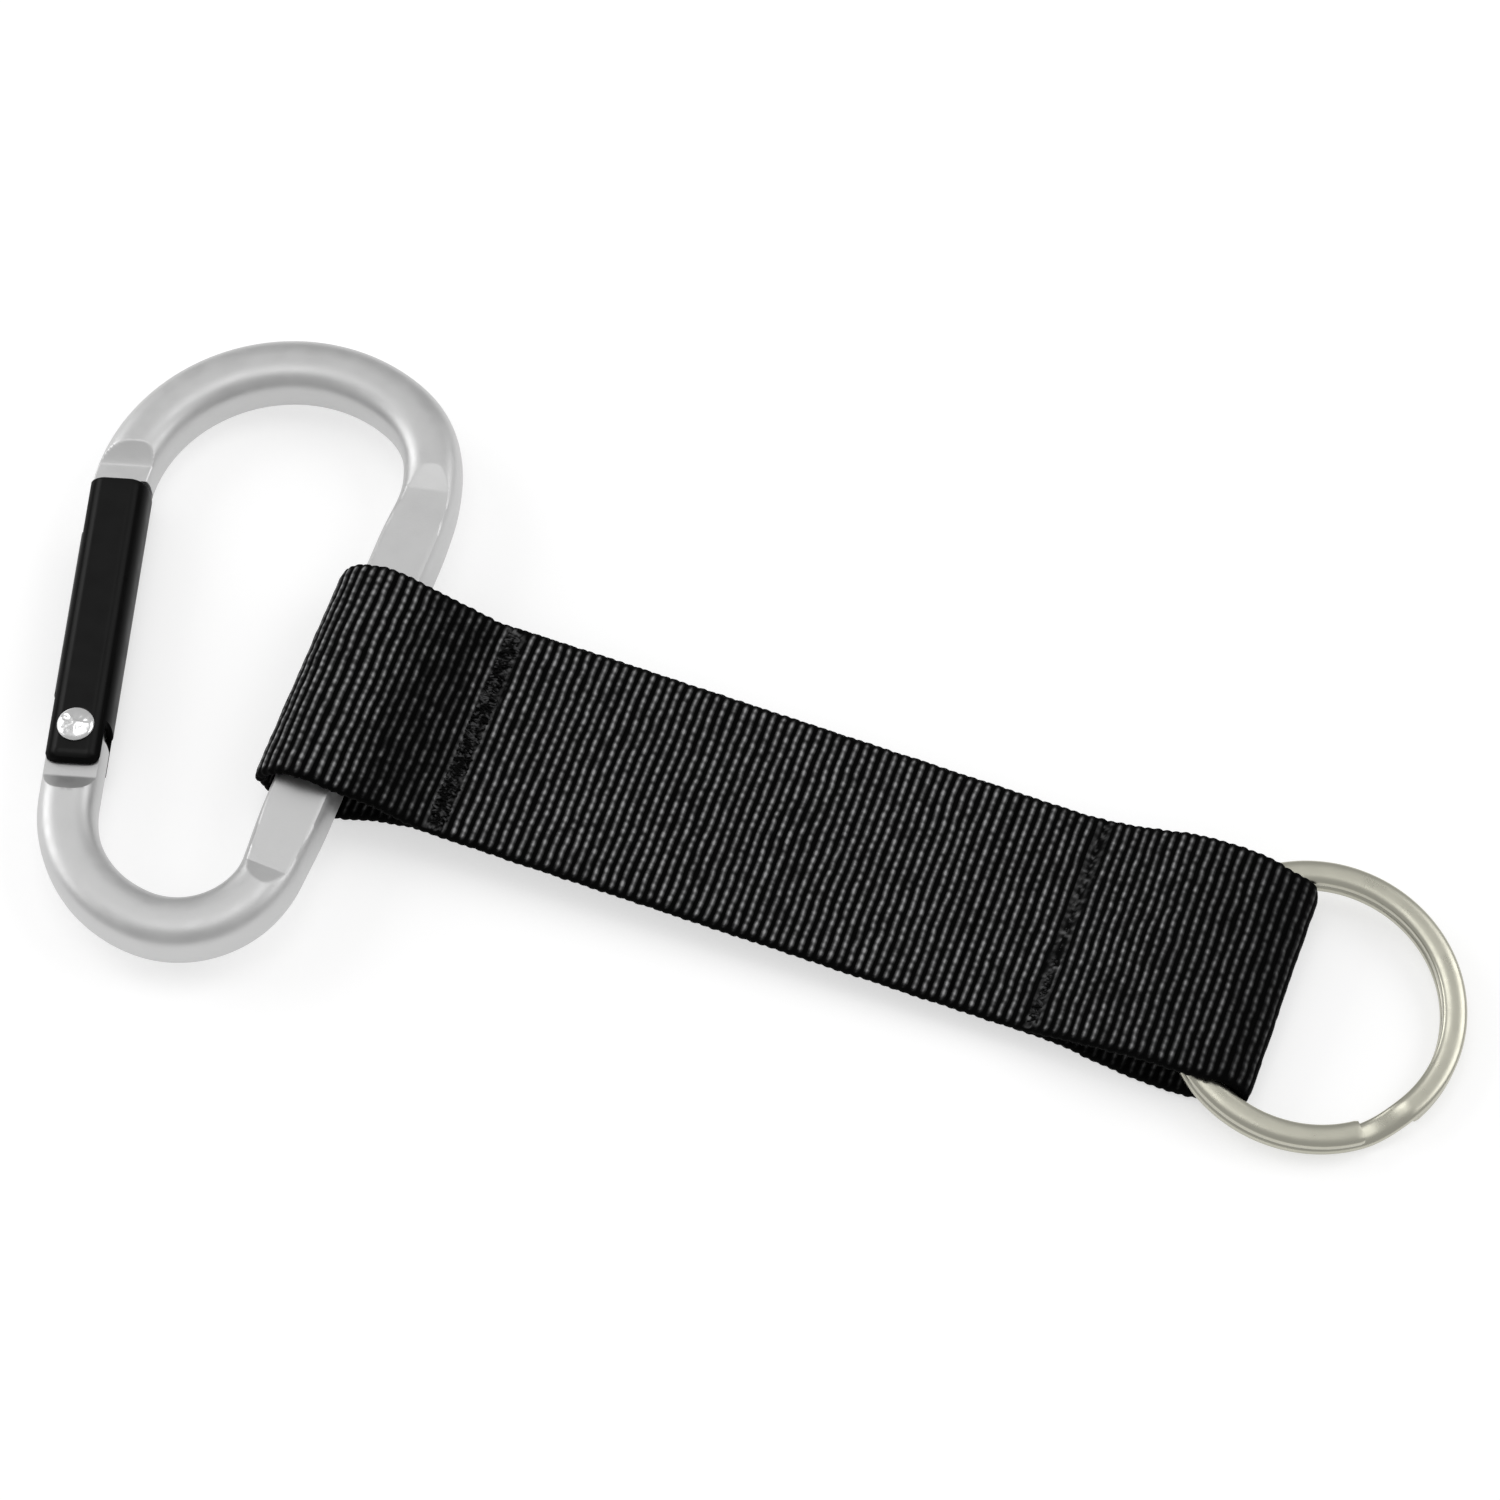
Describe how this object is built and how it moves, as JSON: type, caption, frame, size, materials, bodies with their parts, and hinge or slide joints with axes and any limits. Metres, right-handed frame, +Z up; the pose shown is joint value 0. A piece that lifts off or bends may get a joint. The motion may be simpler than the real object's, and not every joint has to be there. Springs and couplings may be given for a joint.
{
  "type": "carabiner keyring",
  "caption": "D-shaped snap link with a sprung gate, joined to a split key ring by a short sewn webbing strap with a loop at each end.",
  "frame": {"origin": "middle of the whole object's footprint, on the table it lies on", "axes": "+X along the strap from the snap link to the split ring, +Y along the snap link's straight side towards the gate's nose end, +Z up off the table"},
  "size_m": [0.1612, 0.0756, 0.0105],
  "materials": {
    "aluminium": "satin, bead-blasted, silver",
    "black_gate": "semi-gloss black anodised",
    "nickel": "bright nickel plate, slightly warm",
    "steel": "plain drawn wire and turned pins",
    "webbing": "woven black nylon webbing, ribbed across its width",
    "thread": "bonded black nylon sewing thread"
  },
  "bodies": {
    "carabiner": {"carabiner_body": "aluminium"},
    "gate": {"gate_tube": "black_gate", "hinge_rivet": "nickel", "gate_spring": "steel"},
    "plunger": {"spring_plunger": "steel"},
    "strap_near": {"webbing_spine_loop": "webbing", "spine_seam_front": "thread", "spine_seam_back": "thread"},
    "strap_far": {"webbing_far_panel": "webbing", "ring_seam_front": "thread", "ring_seam_back": "thread"},
    "ring_loop": {"webbing_ring_loop": "webbing"},
    "ring": {"split_ring": "nickel"}
  },
  "joints": [
    {"name": "gate_swing", "type": "hinge", "parent": "carabiner", "child": "gate", "pos_m": [-0.0699, -0.01611, 0.00385], "axis": [0.0545, 0, -0.9985], "range_deg": [0, 35], "stiffness_Nm_per_rad": 0.06, "springref_deg": -51.57},
    {"name": "plunger_slide", "type": "slide", "parent": "gate", "child": "plunger", "axis": [-0.2382, 0.9711, -0.013], "range_m": [0, 0.0008], "deforming": ["gate_spring"]},
    {"name": "strap_swing", "type": "hinge", "parent": "carabiner", "child": "strap_near", "pos_m": [-0.04427, -0.0014, 0.00525], "axis": [0, -1, 0], "range_deg": [-130, 130]},
    {"name": "strap_bend", "type": "hinge", "parent": "strap_near", "child": "strap_far", "pos_m": [0.00273, -0.0014, 0.00344], "axis": [0, -1, 0], "range_deg": [-90, 90], "stiffness_Nm_per_rad": 0.01},
    {"name": "ring_loop_bend", "type": "hinge", "parent": "strap_far", "child": "ring_loop", "pos_m": [0.03993, -0.0014, 0.00234], "axis": [0, -1, 0], "range_deg": [-45, 45], "stiffness_Nm_per_rad": 0.01},
    {"name": "ring_spin", "type": "hinge", "parent": "ring_loop", "child": "ring", "pos_m": [0.06433, -0.0017, 0.00299], "axis": [0.0854, -0.0417, 0.9955], "continuous": true}
  ],
  "couplings": [
    {"joint": "plunger_slide", "follows": "gate_swing", "m_per_rad": 0.0013}
  ]
}
